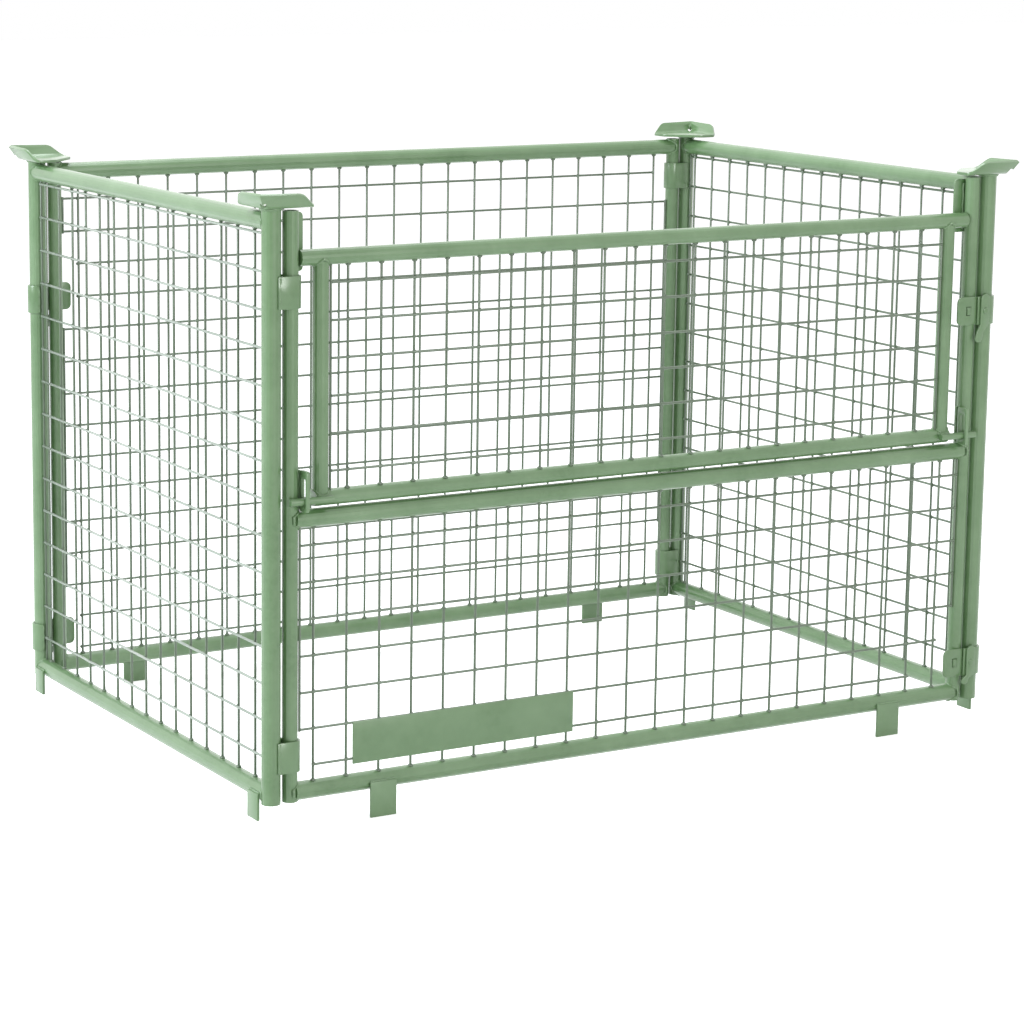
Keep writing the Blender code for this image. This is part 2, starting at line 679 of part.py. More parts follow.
def gate_bottom_rail(parent):
    end = STILE_PLACE + GATE_TUBE_RADIUS
    z = DECK + GATE_BOTTOM_HEIGHT
    rail = rod("gate_bottom_rail", (-end, -WALL_Y, z), (end, -WALL_Y, z), GATE_TUBE_RADIUS)
    return seat(rail, parent)


def gate_stile(name, parent, side):
    x = side * STILE_PLACE
    low, high = DECK + GATE_BOTTOM_HEIGHT, DECK + GATE_TOP_HEIGHT
    trim = GATE_TUBE_RADIUS / 2
    stile = rod(name, (x, -WALL_Y, low + trim), (x, -WALL_Y, high - trim), GATE_TUBE_RADIUS)
    reach = 2 * GATE_TUBE_RADIUS
    saddles = [
        rod("saddle", (x - reach, -WALL_Y, z), (x + reach, -WALL_Y, z), GATE_TUBE_RADIUS + SEAT)
        for z in (low, high)
    ]
    return seat(combine(stile, saddles, "DIFFERENCE"), parent)


def gate_pin(name, parent, side):
    """The pin welded in front of the gate's bottom rail, which rides in the slot."""
    y, z = -WALL_Y - PIN_OFFSET, DECK + GATE_BOTTOM_HEIGHT
    start = (side * (STILE_PLACE - GATE_TUBE_RADIUS), y, z)
    end = (side * (HINGE_X + PIN_OVERHANG), y, z)
    return seat(rod(name, start, end, PIN_RADIUS, 14), parent, start)


def gate_pivot(name, parent, side):
    """The slotted plate beside the post that holds a gate pin."""
    outer = HINGE_X - LONG_POST_RADIUS - SEAT
    slot_half = PIN_RADIUS + SLOT_CLEARANCE
    rest = GATE_BOTTOM_HEIGHT
    low = rest - slot_half - PIVOT_END_LAND
    high = rest + GATE_LIFT + slot_half + PIVOT_END_LAND
    front = PIN_OFFSET + slot_half + PIVOT_FRONT_LAND
    outline = rounded_rectangle((-front, low), (PIVOT_BACK, high), PIVOT_CORNER)
    depth = sorted((side * (outer - PIVOT_THICKNESS), side * outer))
    plate = extrusion(name, outline, (0, -WALL_Y, DECK), (0, 1, 0), (0, 0, 1), depth)
    slot = arc((-PIN_OFFSET, rest + GATE_LIFT), slot_half, 0, math.pi, 6)
    slot += arc((-PIN_OFFSET, rest), slot_half, math.pi, 2 * math.pi, 6)
    wide = sorted((side * (outer - 2 * PIVOT_THICKNESS), side * (outer + PIVOT_THICKNESS)))
    cutter = extrusion("slot", slot, (0, -WALL_Y, DECK), (0, 1, 0), (0, 0, 1), wide)
    combine(plate, [cutter], "DIFFERENCE")
    return seat(plate, parent, (side * outer, -WALL_Y, DECK + rest), smooth=False)


def gate_stop(name, parent, side):
    """The plate behind the post that the closed gate leans on."""
    inner = -(LONG_POST_RADIUS + GATE_END_CLEARANCE + STOP_LAP)
    low, high = GATE_TOP_HEIGHT - STOP_BELOW_GATE_TOP, LONG_POST_HEIGHT - STOP_BELOW_POST_TOP
    outline = rounded_rectangle((inner, low), (0, high), STOP_CORNER)
    face = GATE_TUBE_RADIUS + SEAT
    x = side * HINGE_X
    # Drawn from the post towards the gate; the sheet lies on the inner side of the wall.
    depth = sorted((-side * face, -side * (face + STOP_THICKNESS)))
    plate = extrusion(name, outline, (x, -WALL_Y, DECK), (side, 0, 0), (0, 0, 1), depth)
    return seat(plate, parent, (x, -WALL_Y + face, DECK + low), smooth=False)


def sign_plate(parent):
    """The bare plate that lies on the front of the lower mesh."""
    x, height = -HINGE_X + SIGN_INSET + SIGN_WIDTH / 2, SIGN_HEIGHT_ABOVE_DECK
    flat = WIRE_RADIUS * math.cos(math.pi / WIRE_SIDES)
    back = -WALL_Y - FRONT_MESH_OFFSET - LAYER_ACROSS - flat - SEAT
    low = (x - SIGN_WIDTH / 2, back - SIGN_THICKNESS, DECK + height - SIGN_HEIGHT / 2)
    high = (x + SIGN_WIDTH / 2, back, DECK + height + SIGN_HEIGHT / 2)
    return seat(block("sign_plate", low, high), parent, (x, back, DECK + height), smooth=False)


def build_rear_wall(parent):
    long_post("rear_post_left", parent, -HINGE_X, WALL_Y)
    long_post("rear_post_right", parent, HINGE_X, WALL_Y)
    long_rail("rear_top_rail", parent, WALL_Y, TOP_RAIL_HEIGHT)
    long_rail("rear_bottom_rail", parent, WALL_Y, RAIL_RADIUS)
    rear_mesh(parent)
    long_tab("rear_tab_left", parent, -(HINGE_X - LONG_TAB_INSET), 1)
    long_tab("rear_tab_right", parent, HINGE_X - LONG_TAB_INSET, 1)
    for level, height in zip(("upper", "lower"), REAR_LATCH_HEIGHTS):
        keeper("rear_keeper_" + level, parent, -1, 1, height)


def build_front_wall(parent):
    long_post("front_post_left", parent, -HINGE_X, -WALL_Y)
    long_post("front_post_right", parent, HINGE_X, -WALL_Y)
    long_rail("front_mid_rail", parent, -WALL_Y, MID_RAIL_HEIGHT)
    long_rail("front_bottom_rail", parent, -WALL_Y, RAIL_RADIUS)
    front_mesh(parent)
    sign_plate(parent)
    long_tab("front_tab_left", parent, -(HINGE_X - LONG_TAB_INSET), -1)
    long_tab("front_tab_right", parent, HINGE_X - LONG_TAB_INSET, -1)
    for level, height in zip(("upper", "lower"), FRONT_LATCH_HEIGHTS):
        keeper("front_keeper_" + level, parent, 1, -1, height)
    for word, side in (("left", -1), ("right", 1)):
        gate_pivot("gate_pivot_" + word, parent, side)
        gate_stop("gate_stop_" + word, parent, side)


def build_end_wall(word, parent, side):
    x = side * WALL_X
    end_post(word + "_post_front", parent, x, -WALL_Y)
    end_post(word + "_post_rear", parent, x, WALL_Y)
    side_rail(word + "_top_rail", parent, x, TOP_RAIL_HEIGHT)
    side_rail(word + "_bottom_rail", parent, x, RAIL_RADIUS)
    side_mesh(word + "_mesh", parent, side)
    side_tab(word + "_tab_front", parent, side, -(WALL_Y - SIDE_TAB_INSET))
    side_tab(word + "_tab_rear", parent, side, WALL_Y - SIDE_TAB_INSET)
    stack_plate(word + "_stack_plate_front", parent, side, -1)
    stack_plate(word + "_stack_plate_rear", parent, side, 1)
    # The plain corner is front left and rear right, the latched one the other.
    band_heights = FRONT_BAND_HEIGHTS if side < 0 else REAR_BAND_HEIGHTS
    latch_heights = REAR_LATCH_HEIGHTS if side < 0 else FRONT_LATCH_HEIGHTS
    for level, height in zip(("upper", "lower"), band_heights):
        hinge_band(word + "_hinge_band_" + level, parent, side, side, height)
    for level, height, tail in zip(("upper", "lower"), latch_heights, LEVER_TAILS):
        latch_strap(word + "_latch_strap_" + level, parent, side, -side, height)
        latch_lever(word + "_latch_lever_" + level, parent, side, -side, height, tail)


def build_gate(pins, parent):
    gate_pin("gate_pin_left", pins, -1)
    gate_pin("gate_pin_right", pins, 1)
    gate_top_rail(parent)
    gate_bottom_rail(parent)
    gate_stile("gate_stile_left", parent, -1)
    gate_stile("gate_stile_right", parent, 1)
    gate_mesh(parent)


def main():
    reset_scene()
    # The rear and left walls stand still, latched; the others turn on the plain corners.
    fixed = frame("rear_and_left_walls", (0, WALL_Y, DECK))
    right = frame("right_wall_hinge", (HINGE_X, WALL_Y, DECK), fixed)
    front = frame("front_wall_hinge", (-HINGE_X, -WALL_Y, DECK), fixed)
    pin_place = (0, -WALL_Y - PIN_OFFSET, DECK + GATE_BOTTOM_HEIGHT)
    pins = frame("gate_slide", pin_place, front)
    gate = frame("gate_hinge", pin_place, pins)
    build_rear_wall(fixed)
    build_end_wall("left", fixed, -1)
    build_end_wall("right", right, 1)
    build_front_wall(front)
    build_gate(pins, gate)


main()
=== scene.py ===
"""The looks of a folding mesh collar for a pallet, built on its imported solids.

Each section is one piece or one group of like pieces, in the order in which the collar is
put together. Lengths are in metres, in the frame of the solids: X along the long side, the
gate at -Y, and Z = 0 at the foot of the tabs.
"""
import math

import bpy
from mathutils import Matrix, Vector


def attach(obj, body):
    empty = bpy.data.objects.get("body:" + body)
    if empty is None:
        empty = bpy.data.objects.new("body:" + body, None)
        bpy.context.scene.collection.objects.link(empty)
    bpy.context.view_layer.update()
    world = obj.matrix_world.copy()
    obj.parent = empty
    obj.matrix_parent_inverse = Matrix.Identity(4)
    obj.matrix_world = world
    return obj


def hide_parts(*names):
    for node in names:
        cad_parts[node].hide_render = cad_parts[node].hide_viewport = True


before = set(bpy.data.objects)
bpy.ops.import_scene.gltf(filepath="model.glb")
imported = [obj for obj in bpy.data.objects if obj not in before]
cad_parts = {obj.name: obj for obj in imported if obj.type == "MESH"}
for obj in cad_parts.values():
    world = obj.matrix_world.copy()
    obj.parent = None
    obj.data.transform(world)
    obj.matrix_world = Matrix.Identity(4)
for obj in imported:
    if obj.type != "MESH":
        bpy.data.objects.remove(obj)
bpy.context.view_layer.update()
bpy.ops.object.select_all(action="DESELECT")

# The camera
#
# It stands where the photograph was taken from: to the left of the gate side, a little
# above the rim, with the frame cut off centre.
PICTURE = 1024  # pixels, both ways
FOCAL_LENGTH = 3041.4  # in pixels
AXIS_X, AXIS_Y = 402.2, 433.9  # the pixel that the lens's axis meets
TILT_DOWN, TURN_RIGHT, ROLL = 10.06, 29.41, 0.46  # degrees
SENSOR = 36  # millimetres
bpy.ops.object.camera_add(location=(-2.3571, -3.8693, 1.2288))
camera = bpy.context.active_object
camera.name = "camera"
camera.rotation_mode = "XYZ"
camera.rotation_euler = (math.radians(90 - TILT_DOWN), 0, math.radians(-TURN_RIGHT))
camera.rotation_euler.rotate_axis("Z", math.radians(ROLL))
camera.data.sensor_width = SENSOR
camera.data.lens = FOCAL_LENGTH * SENSOR / PICTURE
camera.data.shift_x = (PICTURE / 2 - AXIS_X) / PICTURE
camera.data.shift_y = (AXIS_Y - PICTURE / 2) / PICTURE
camera.data.clip_end = 60
bpy.context.scene.camera = camera

# The floor and the white room
#
# A pale studio floor with a soft shadow under the frame. What the camera and the gloss see
# beyond it is white, and three large soft lamps light the left, the gate side and the top.
FLOOR_DROP = 0.0005
LAMP_AIM = (0, 0, 0.4)
LAMPS = (
    # name, place, size, watts, color
    ("key_lamp", (-5.2, 0.6, 2.6), 2.2, 210, (0.88, 0.96, 1.0)),
    ("front_lamp", (0.6, -5.8, 2.0), 1.8, 97, (0.97, 0.99, 0.97)),
    ("top_lamp", (0, 1.0, 4.4), 2.4, 110, (0.92, 0.975, 1.0)),
)


class Tone:
    """A node's output in a material. Sums and products with it add their Math nodes."""

    def __init__(self, tree, socket):
        self.tree = tree
        self.socket = socket

    def add(self, kind, settings=None, inputs=None, output=0):
        """A new node in the same tree, its settings first, then its values and links."""
        node = self.tree.nodes.new(kind)
        for name, value in (settings or {}).items():
            setattr(node, name, value)
        for name, value in (inputs or {}).items():
            if isinstance(value, Tone):
                value.feed(node.inputs[name])
            else:
                node.inputs[name].default_value = value
        return Tone(self.tree, node.outputs[output])

    def feed(self, target):
        """A link from this output to a node's input."""
        self.tree.links.new(self.socket, target)

    def __add__(self, other):
        return self.add("ShaderNodeMath", {"operation": "ADD"}, {0: self, 1: other})

    def __mul__(self, other):
        return self.add("ShaderNodeMath", {"operation": "MULTIPLY"}, {0: self, 1: other})

    __radd__ = __add__
    __rmul__ = __mul__

    def stretch(self, low, high, top):
        """From 0 where this is low to top where it is high."""
        ends = {"From Min": low, "From Max": high, "To Min": 0.0, "To Max": top}
        return self.add("ShaderNodeMapRange", None, {"Value": self, **ends})

    def blend(self, first, second):
        """The first colour where this is 0 and the second where it is 1."""
        inputs = {0: self, 6: first, 7: second}
        return self.add("ShaderNodeMix", {"data_type": "RGBA"}, inputs, 2)


def rays(tree, *kinds):
    """One tone for each kind of ray, 1 where such a ray looks."""
    path = tree.nodes.new("ShaderNodeLightPath")
    return [Tone(tree, path.outputs["Is " + kind + " Ray"]) for kind in kinds]


bpy.ops.mesh.primitive_plane_add(size=40, location=(0, 0, -FLOOR_DROP))
floor = bpy.context.active_object
floor.name = "floor"
floor_paint = bpy.data.materials.new("floor_white")
floor_paint.use_nodes = True
shader = floor_paint.node_tree.nodes["Principled BSDF"]
shader.inputs["Base Color"].default_value = (0.9, 0.9, 0.9, 1)
shader.inputs["Roughness"].default_value = 0.9
shader.inputs["Emission Color"].default_value = (1, 1, 1, 1)
seen, glossy = rays(floor_paint.node_tree, "Camera", "Glossy")
(seen * 0.75 + glossy * 0.5).feed(shader.inputs["Emission Strength"])
floor.data.materials.append(floor_paint)

world = bpy.data.worlds.new("white_room")
bpy.context.scene.world = world
world.use_nodes = True
sky = world.node_tree.nodes["Background"]
sky.inputs["Color"].default_value = (1, 1, 1, 1)
seen, glossy, through = rays(world.node_tree, "Camera", "Glossy", "Transmission")
(seen * 0.72 + through * 0.72 + glossy * 1.15 + 0.28).feed(sky.inputs["Strength"])

for name, place, size, watts, color in LAMPS:
    bpy.ops.object.light_add(type="AREA", location=place)
    lamp = bpy.context.active_object
    lamp.name = name
    lamp.data.size = size
    lamp.data.energy = watts
    lamp.data.color = color
    look = Vector(LAMP_AIM) - Vector(place)
    lamp.rotation_euler = look.to_track_quat("-Z", "Y").to_euler()

bpy.context.scene.view_settings.view_transform = "Standard"

# The green paint
#
# Every steel piece is sprayed with the same reseda green after welding: half gloss, with a
# fine orange peel and a faint drift in tone. The wires take a darker copy of it as painted
# shade, and the left wall's rows a paler copy as painted light.
GREEN = (0.166, 0.290, 0.132, 1)
PALE_GREEN = (0.202, 0.330, 0.166, 1)
DEEP_GREEN = (0.116, 0.232, 0.088, 1)
PEEL_SCALE = 420.0
FLECK_SCALE = 14  # times the drift's


def green_paint(name, drift=9.0, rough=0.33, value=1.0, saturation=1.0):
    """The sprayed green on one kind of steel. Value and saturation paint light or shade into
    it.
    """
    material = bpy.data.materials.new(name)
    material.use_nodes = True
    tree = material.node_tree
    shader = tree.nodes["Principled BSDF"]
    place = Tone(tree, tree.nodes.new("ShaderNodeTexCoord").outputs["Object"])

    def noise(scale, detail, roughness=0.5):
        inputs = {"Vector": place, "Scale": scale, "Detail": detail, "Roughness": roughness}
        return place.add("ShaderNodeTexNoise", None, inputs)

    clouds = noise(drift, 4.0, 0.6).stretch(0.32, 0.68, 1.0)
    flecks = noise(drift * FLECK_SCALE, 3.0).stretch(0.35, 0.65, 0.45)
    color = flecks.blend(clouds.blend(DEEP_GREEN, PALE_GREEN), GREEN)
    depth = {"Color": color, "Value": value, "Saturation": saturation}
    color.add("ShaderNodeHueSaturation", None, depth).feed(shader.inputs["Base Color"])
    (clouds * 0.1 + (rough - 0.05)).feed(shader.inputs["Roughness"])
    relief = {"Strength": 0.16, "Distance": 0.0004, "Height": noise(PEEL_SCALE, 2.0)}
    place.add("ShaderNodeBump", None, relief).feed(shader.inputs["Normal"])
    shader.inputs["Specular IOR Level"].default_value = 0.5
    shader.inputs["Coat Weight"].default_value = 0.75
    shader.inputs["Coat Roughness"].default_value = 0.22
    return material


tube_paint = green_paint("tube_paint")
# A darker, greyer copy of the green: painted shade on the wires.
shaded_wire_paint = green_paint("shaded_wire_paint", 14, 0.36, value=0.58, saturation=0.72)
# A paler, bluer copy of the green: painted light on the left wall's rows, where the key lamp
# falls.
lit_wire_rows_paint = green_paint("lit_wire_rows_paint", 14, 0.26, value=1.55, saturation=0.26)
plate_paint = green_paint("plate_paint", 6)


def coat(obj, material):
    """One material all over a piece."""
    obj.data.materials.clear()
    obj.data.materials.append(material)


for node_name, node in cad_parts.items():
    is_sheet = "plate" in node_name or "tab" in node_name
    coat(node, plate_paint if is_sheet else tube_paint)

# The sheet parts' edges
#
# Keepers, hinge straps, levers, tabs, brackets and the bare plate are cut or bent sheet. Each
# keeps its solid's form, with the edges broken so that they catch the light.
FIXED = "rear_and_left_walls"
THICK_EDGE, MIDDLE_EDGE, THIN_EDGE, SIGN_EDGE = 0.0009, 0.0008, 0.0007, 0.0005


def select_only(obj):
    """The one object that is selected and active."""
    bpy.ops.object.select_all(action="DESELECT")
    obj.select_set(True)
    bpy.context.view_layer.objects.active = obj


def modify(obj, kind, **settings):
    """A modifier with these settings, applied at once."""
    modifier = obj.modifiers.new(kind.lower(), kind)
    for name, value in settings.items():
        setattr(modifier, name, value)
    bpy.context.view_layer.objects.active = obj
    bpy.ops.object.modifier_apply(modifier=modifier.name)


def break_edges(obj, width, sharp=50):
    """A narrow bevel along every edge that turns more than so many degrees."""
    limit = math.radians(sharp)
    modify(obj, "BEVEL", width=width, segments=2, limit_method="ANGLE", angle_limit=limit)


def smooth(angle=40):
    """Smooth shading on the selected piece, up to so many degrees between its faces."""
    bpy.ops.object.shade_smooth_by_angle(angle=math.radians(angle))


def eased(node_name, body, width):
    """A copy of a sheet part with its edges broken, in the part's own place."""
    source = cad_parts[node_name]
    mesh = source.data.copy()
    mesh.transform(source.matrix_world)
    piece = bpy.data.objects.new(node_name + "_eased", mesh)
    bpy.context.scene.collection.objects.link(piece)
    select_only(piece)
    bpy.ops.object.mode_set(mode="EDIT")
    bpy.ops.mesh.select_all(action="SELECT")
    bpy.ops.mesh.remove_doubles(threshold=0.00001)
    bpy.ops.mesh.dissolve_limited(angle_limit=math.radians(1))
    bpy.ops.mesh.normals_make_consistent(inside=False)
    bpy.ops.object.mode_set(mode="OBJECT")
    break_edges(piece, width, 32)
    smooth(50)
    coat(piece, plate_paint)
    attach(piece, body)
    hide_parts(node_name)


for level in ("upper", "lower"):
    eased("rear_keeper_" + level, FIXED, THICK_EDGE)
    eased("front_keeper_" + level, "front_wall", THICK_EDGE)
    for word, body in (("left", FIXED), ("right", "right_wall")):
        eased(word + "_hinge_band_" + level, body, THIN_EDGE)
        eased(word + "_latch_lever_" + level, word + "_lever_" + level, MIDDLE_EDGE)
for end in ("left", "right"):
    eased("rear_tab_" + end, FIXED, MIDDLE_EDGE)
    eased("front_tab_" + end, "front_wall", MIDDLE_EDGE)
    eased("gate_pivot_" + end, "front_wall", THIN_EDGE)
    eased("gate_stop_" + end, "front_wall", THIN_EDGE)
for end in ("front", "rear"):
    eased("left_tab_" + end, FIXED, MIDDLE_EDGE)
    eased("right_tab_" + end, "right_wall", MIDDLE_EDGE)
eased("sign_plate", "front_wall", SIGN_EDGE)

# The stacking plates
#
# Pressed sheet on the four end posts: a level seat, two flared wings with rounded bends and
# tips, and a relief hole where the two bends meet.
DECK = 0.036  # the pallet's top, where the posts stand
WALL_X, WALL_Y = 0.5915, 0.3895  # the end walls' and the long walls' middles
PLATE_SEAT = DECK + 0.795
PLATE_THICKNESS = 0.004
BEND, TIP, RISE = 0.022, 0.032, 0.018  # from the post's axis, and the tips' height
INNER, CUT = BEND - 0.075, BEND - 0.030  # the wings' far ends, and the cut inner corner
SLANT = 0.021
CORNER_ROUND, BEND_ROUND = 0.006, 0.0055
RELIEF_RADIUS = 0.0045
ON_LINE = 1e-6


def place_finished(obj):
    """The piece's place goes into its mesh and its object back to the origin."""
    select_only(obj)
    bpy.ops.object.transform_apply(location=True, rotation=True, scale=True)


def bevel_chosen(mesh, element, chosen, **settings):
    """Bevels on the vertices or edges of the active mesh that chosen says yes to."""
    bpy.ops.object.mode_set(mode="EDIT")
    bpy.ops.mesh.select_mode(type="VERT" if element == "vertices" else "EDGE")
    bpy.ops.mesh.select_all(action="DESELECT")
    bpy.ops.object.mode_set(mode="OBJECT")
    for item in getattr(mesh, element):
        item.select = chosen(item)
    bpy.ops.object.mode_set(mode="EDIT")
    bpy.ops.mesh.bevel(affect=element.upper(), **settings)
    bpy.ops.object.mode_set(mode="OBJECT")


def stack_plate(word, end_word, side, end, body):
    """One plate, drawn as a sheet, bent, thickened and pierced at its corner."""
    outline = [
        (BEND, BEND, 0), (INNER, BEND, 0), (INNER, CUT, 0), (CUT, INNER, 0), (BEND, INNER, 0),
        (TIP, TIP, RISE), (INNER + SLANT, TIP, RISE), (TIP, INNER + SLANT, RISE),
    ]
    inner_and_tips = (2, 3, 6, 7)
    faces = [(0, 1, 2, 3, 4), (0, 5, 6, 1), (0, 4, 7, 5)]
    mesh = bpy.data.meshes.new(word + "_stack_plate_" + end_word + "_pressed")
    mesh.from_pydata(outline, [], faces)
    plate = bpy.data.objects.new(mesh.name, mesh)
    bpy.context.scene.collection.objects.link(plate)
    select_only(plate)

    def is_bend(edge):
        a, b = (mesh.vertices[index].co for index in edge.vertices)
        level = abs(a.z) < ON_LINE and abs(b.z) < ON_LINE
        along_x = abs(a.y - BEND) < ON_LINE and abs(b.y - BEND) < ON_LINE
        along_y = abs(a.x - BEND) < ON_LINE and abs(b.x - BEND) < ON_LINE
        return level and (along_x or along_y)

    bevel_chosen(
        mesh, "vertices", lambda vertex: vertex.index in inner_and_tips,
        offset=CORNER_ROUND, segments=4,
    )
    bevel_chosen(mesh, "edges", is_bend, offset=BEND_ROUND, segments=5)
    bpy.ops.object.mode_set(mode="EDIT")
    bpy.ops.mesh.select_all(action="SELECT")
    bpy.ops.mesh.normals_make_consistent(inside=False)
    bpy.ops.object.mode_set(mode="OBJECT")
    if mesh.polygons[0].normal.z < 0:
        mesh.flip_normals()
    modify(plate, "SOLIDIFY", thickness=PLATE_THICKNESS, offset=1, use_even_offset=True)

    bpy.ops.mesh.primitive_cylinder_add(
        vertices=16, radius=RELIEF_RADIUS, depth=0.05, location=(BEND, BEND, PLATE_THICKNESS)
    )
    drill = bpy.context.active_object
    select_only(plate)
    modify(plate, "BOOLEAN", operation="DIFFERENCE", object=drill)
    bpy.data.objects.remove(drill, do_unlink=True)
    break_edges(plate, THICK_EDGE)
    plate.location = (side * WALL_X, end * WALL_Y, PLATE_SEAT)
    plate.scale = (side, end, 1)
    place_finished(plate)
    if side * end < 0:
        plate.data.flip_normals()
    smooth()
    coat(plate, plate_paint)
    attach(plate, body)
    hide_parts(word + "_stack_plate_" + end_word)


for word, side, body in (("left", -1, FIXED), ("right", 1, "right_wall")):
    stack_plate(word, "front", side, -1, body)
    stack_plate(word, "rear", side, 1, body)

# The latches' straps
#
# Each is bent round the end post: the arm behind the lever runs back towards the long wall's
# post, and the other end is welded close to the end wall's mesh.
STRAP_INNER, STRAP_OUTER = 0.0133, 0.0163
STRAP_ARM, STRAP_HEIGHT = 0.0225, 0.042
STRAP_WRAP = math.radians(72)
NARROW_EDGE = 0.0006
LATCHES = (("upper", 0.594, 0.585), ("lower", 0.060, 0.060))  # level, right, left


def latch_strap(word, level, side, end, height, body):
    """A strip of sheet bent along its line round the post, then thickened."""
    bpy.ops.mesh.primitive_grid_add(x_subdivisions=24, y_subdivisions=2, size=1)
    strap = bpy.context.active_object
    strap.name = word + "_latch_strap_" + level + "_bent"
    length = STRAP_ARM + STRAP_INNER * math.pi / 2 + STRAP_INNER * STRAP_WRAP
    for vertex in strap.data.vertices:
        along = (vertex.co.x + 0.5) * length - STRAP_ARM
        if along < 0:
            u, v = along, -STRAP_INNER
        else:
            angle = along / STRAP_INNER - math.pi / 2
            u, v = STRAP_INNER * math.cos(angle), STRAP_INNER * math.sin(angle)
        vertex.co = (u, v, vertex.co.y * STRAP_HEIGHT)
    bpy.ops.object.mode_set(mode="EDIT")
    bpy.ops.mesh.select_all(action="SELECT")
    bpy.ops.mesh.normals_make_consistent(inside=False)
    bpy.ops.object.mode_set(mode="OBJECT")
    face = strap.data.polygons[len(strap.data.polygons) // 2]
    if face.normal.dot(Vector((face.center.x, face.center.y, 0))) < 0:
        strap.data.flip_normals()
    modify(strap, "SOLIDIFY", thickness=STRAP_OUTER - STRAP_INNER, offset=1)
    break_edges(strap, NARROW_EDGE)
    smooth()
    strap.rotation_euler = (0, 0, 0 if end < 0 else math.pi)
    strap.location = (side * WALL_X, end * WALL_Y, DECK + height)
    place_finished(strap)
    coat(strap, plate_paint)
    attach(strap, body)
    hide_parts(word + "_latch_strap_" + level)


for level, right_height, left_height in LATCHES:
    latch_strap("right", level, 1, -1, right_height, "right_wall")
    latch_strap("left", level, -1, 1, left_height, FIXED)

# The keepers' nubs
#
# A small block stands in each keeper's window, seated on the post behind it and a little
# proud of the plate.
HINGE_X = 0.5635  # the long walls' posts
NUB_WIDTH, NUB_HEIGHT = 0.0066, 0.0115
NUB_BACK, NUB_FRONT = 0.0070, 0.0148
NUB_SHIFT = 0.0093


def keeper_nub(word, level, side, end, height, body):
    """The block in one keeper's window, with its edges broken."""
    bpy.ops.mesh.primitive_cube_add(size=1)
    nub = bpy.context.active_object
    nub.name = word + "_keeper_nub_" + level
    nub.scale = (NUB_WIDTH, NUB_FRONT - NUB_BACK, NUB_HEIGHT)
    y = end * (WALL_Y + (NUB_FRONT + NUB_BACK) / 2)
    nub.location = (side * (HINGE_X - NUB_SHIFT), y, DECK + height)
    place_finished(nub)
    break_edges(nub, NARROW_EDGE)
    smooth()
    coat(nub, plate_paint)
    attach(nub, body)


for level, right_height, left_height in LATCHES:
    keeper_nub("front", level, 1, -1, right_height, "front_wall")
    keeper_nub("rear", level, -1, 1, left_height, FIXED)

# The rear mesh
#
# Drawn 3.6 mm wires on a 50 mm pitch, resistance-welded where they cross: uprights inside and
# rows outside, pressed a little into each other. The sheet is cut back beside the latches.
WIRE_RADIUS = 0.0018
WIRE_LAYER = 0.0016  # each layer's distance from the sheet's middle
WIRE_EASE = 0.0007
PITCH = 0.05
STUB = 0.003  # how far a wire goes on past its last crossing
FOOT, HEAD = DECK + 0.0245, DECK + 0.7650  # the uprights' ends
RAIL_SPOTS = DECK + 0.0255, DECK + 0.7640
ROW_STEP = (0, 0, -PITCH)
CROSS_SPOT = (0.0031, 0.0031, 0.0024)
LONG_WALL_SPOT = (0.0042, 0.0036, 0.0024)
END_WALL_SPOT = (0.0036, 0.0042, 0.0024)
EDGE_SPOT = (0.003, 0.003, 0.0034)
ALONG_X, ALONG_Y, ALONG_Z = (1, 0, 0), (0, 1, 0), (0, 0, 1)


def repeat(obj, count, step):
    """Copies of a piece in an even row, as one mesh."""
    if count > 1:
        modify(
            obj, "ARRAY", count=count, use_relative_offset=False,
            use_constant_offset=True, constant_offset_displace=step,
        )


def wires(start, end, count=1, step=(0, 0, 0)):
    """A straight drawn wire with its cut ends eased, repeated at an even step."""
    start, end = Vector(start), Vector(end)
    span = end - start
    turn = span.to_track_quat("Z", "Y").to_euler()
    middle = (start + end) / 2
    bpy.ops.mesh.primitive_cylinder_add(
        vertices=10, radius=WIRE_RADIUS, depth=span.length, location=middle, rotation=turn
    )
    wire = bpy.context.active_object
    bpy.ops.object.mode_set(mode="EDIT")
    bpy.ops.mesh.select_all(action="DESELECT")
    bpy.ops.mesh.select_mode(type="FACE")
    bpy.ops.object.mode_set(mode="OBJECT")
    for face in wire.data.polygons:
        face.select = abs(face.normal.z) > 0.9
    bpy.ops.object.mode_set(mode="EDIT")
    bpy.ops.mesh.bevel(offset=WIRE_EASE, segments=2, affect="EDGES")
    bpy.ops.object.mode_set(mode="OBJECT")
    smooth()
    place_finished(wire)
    repeat(wire, count, step)
    return wire


def spots(place, flat, counts, steps, size=CROSS_SPOT):
    """Spots of weld metal in a grid, squeezed in the direction flat."""
    bpy.ops.mesh.primitive_uv_sphere_add(segments=8, ring_count=5, radius=1, location=place)
    spot = bpy.context.active_object
    spot.rotation_euler = Vector(flat).to_track_quat("Z", "Y").to_euler()
    spot.scale = size
    bpy.ops.object.shade_smooth()
    place_finished(spot)
    for count, step in zip(counts, steps):
        repeat(spot, count, step)
    return spot


def joined(name, parts, body, material, node=None):
    """Several meshes made one piece, painted, riding on its body in its node's place."""
    bpy.ops.object.select_all(action="DESELECT")
    for part in parts:
        part.select_set(True)
    bpy.context.view_layer.objects.active = parts[0]
    bpy.ops.object.join()
    piece = bpy.context.active_object
    piece.name = name
    piece.data.name = name
    coat(piece, material)
    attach(piece, body)
    if node:
        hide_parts(node)


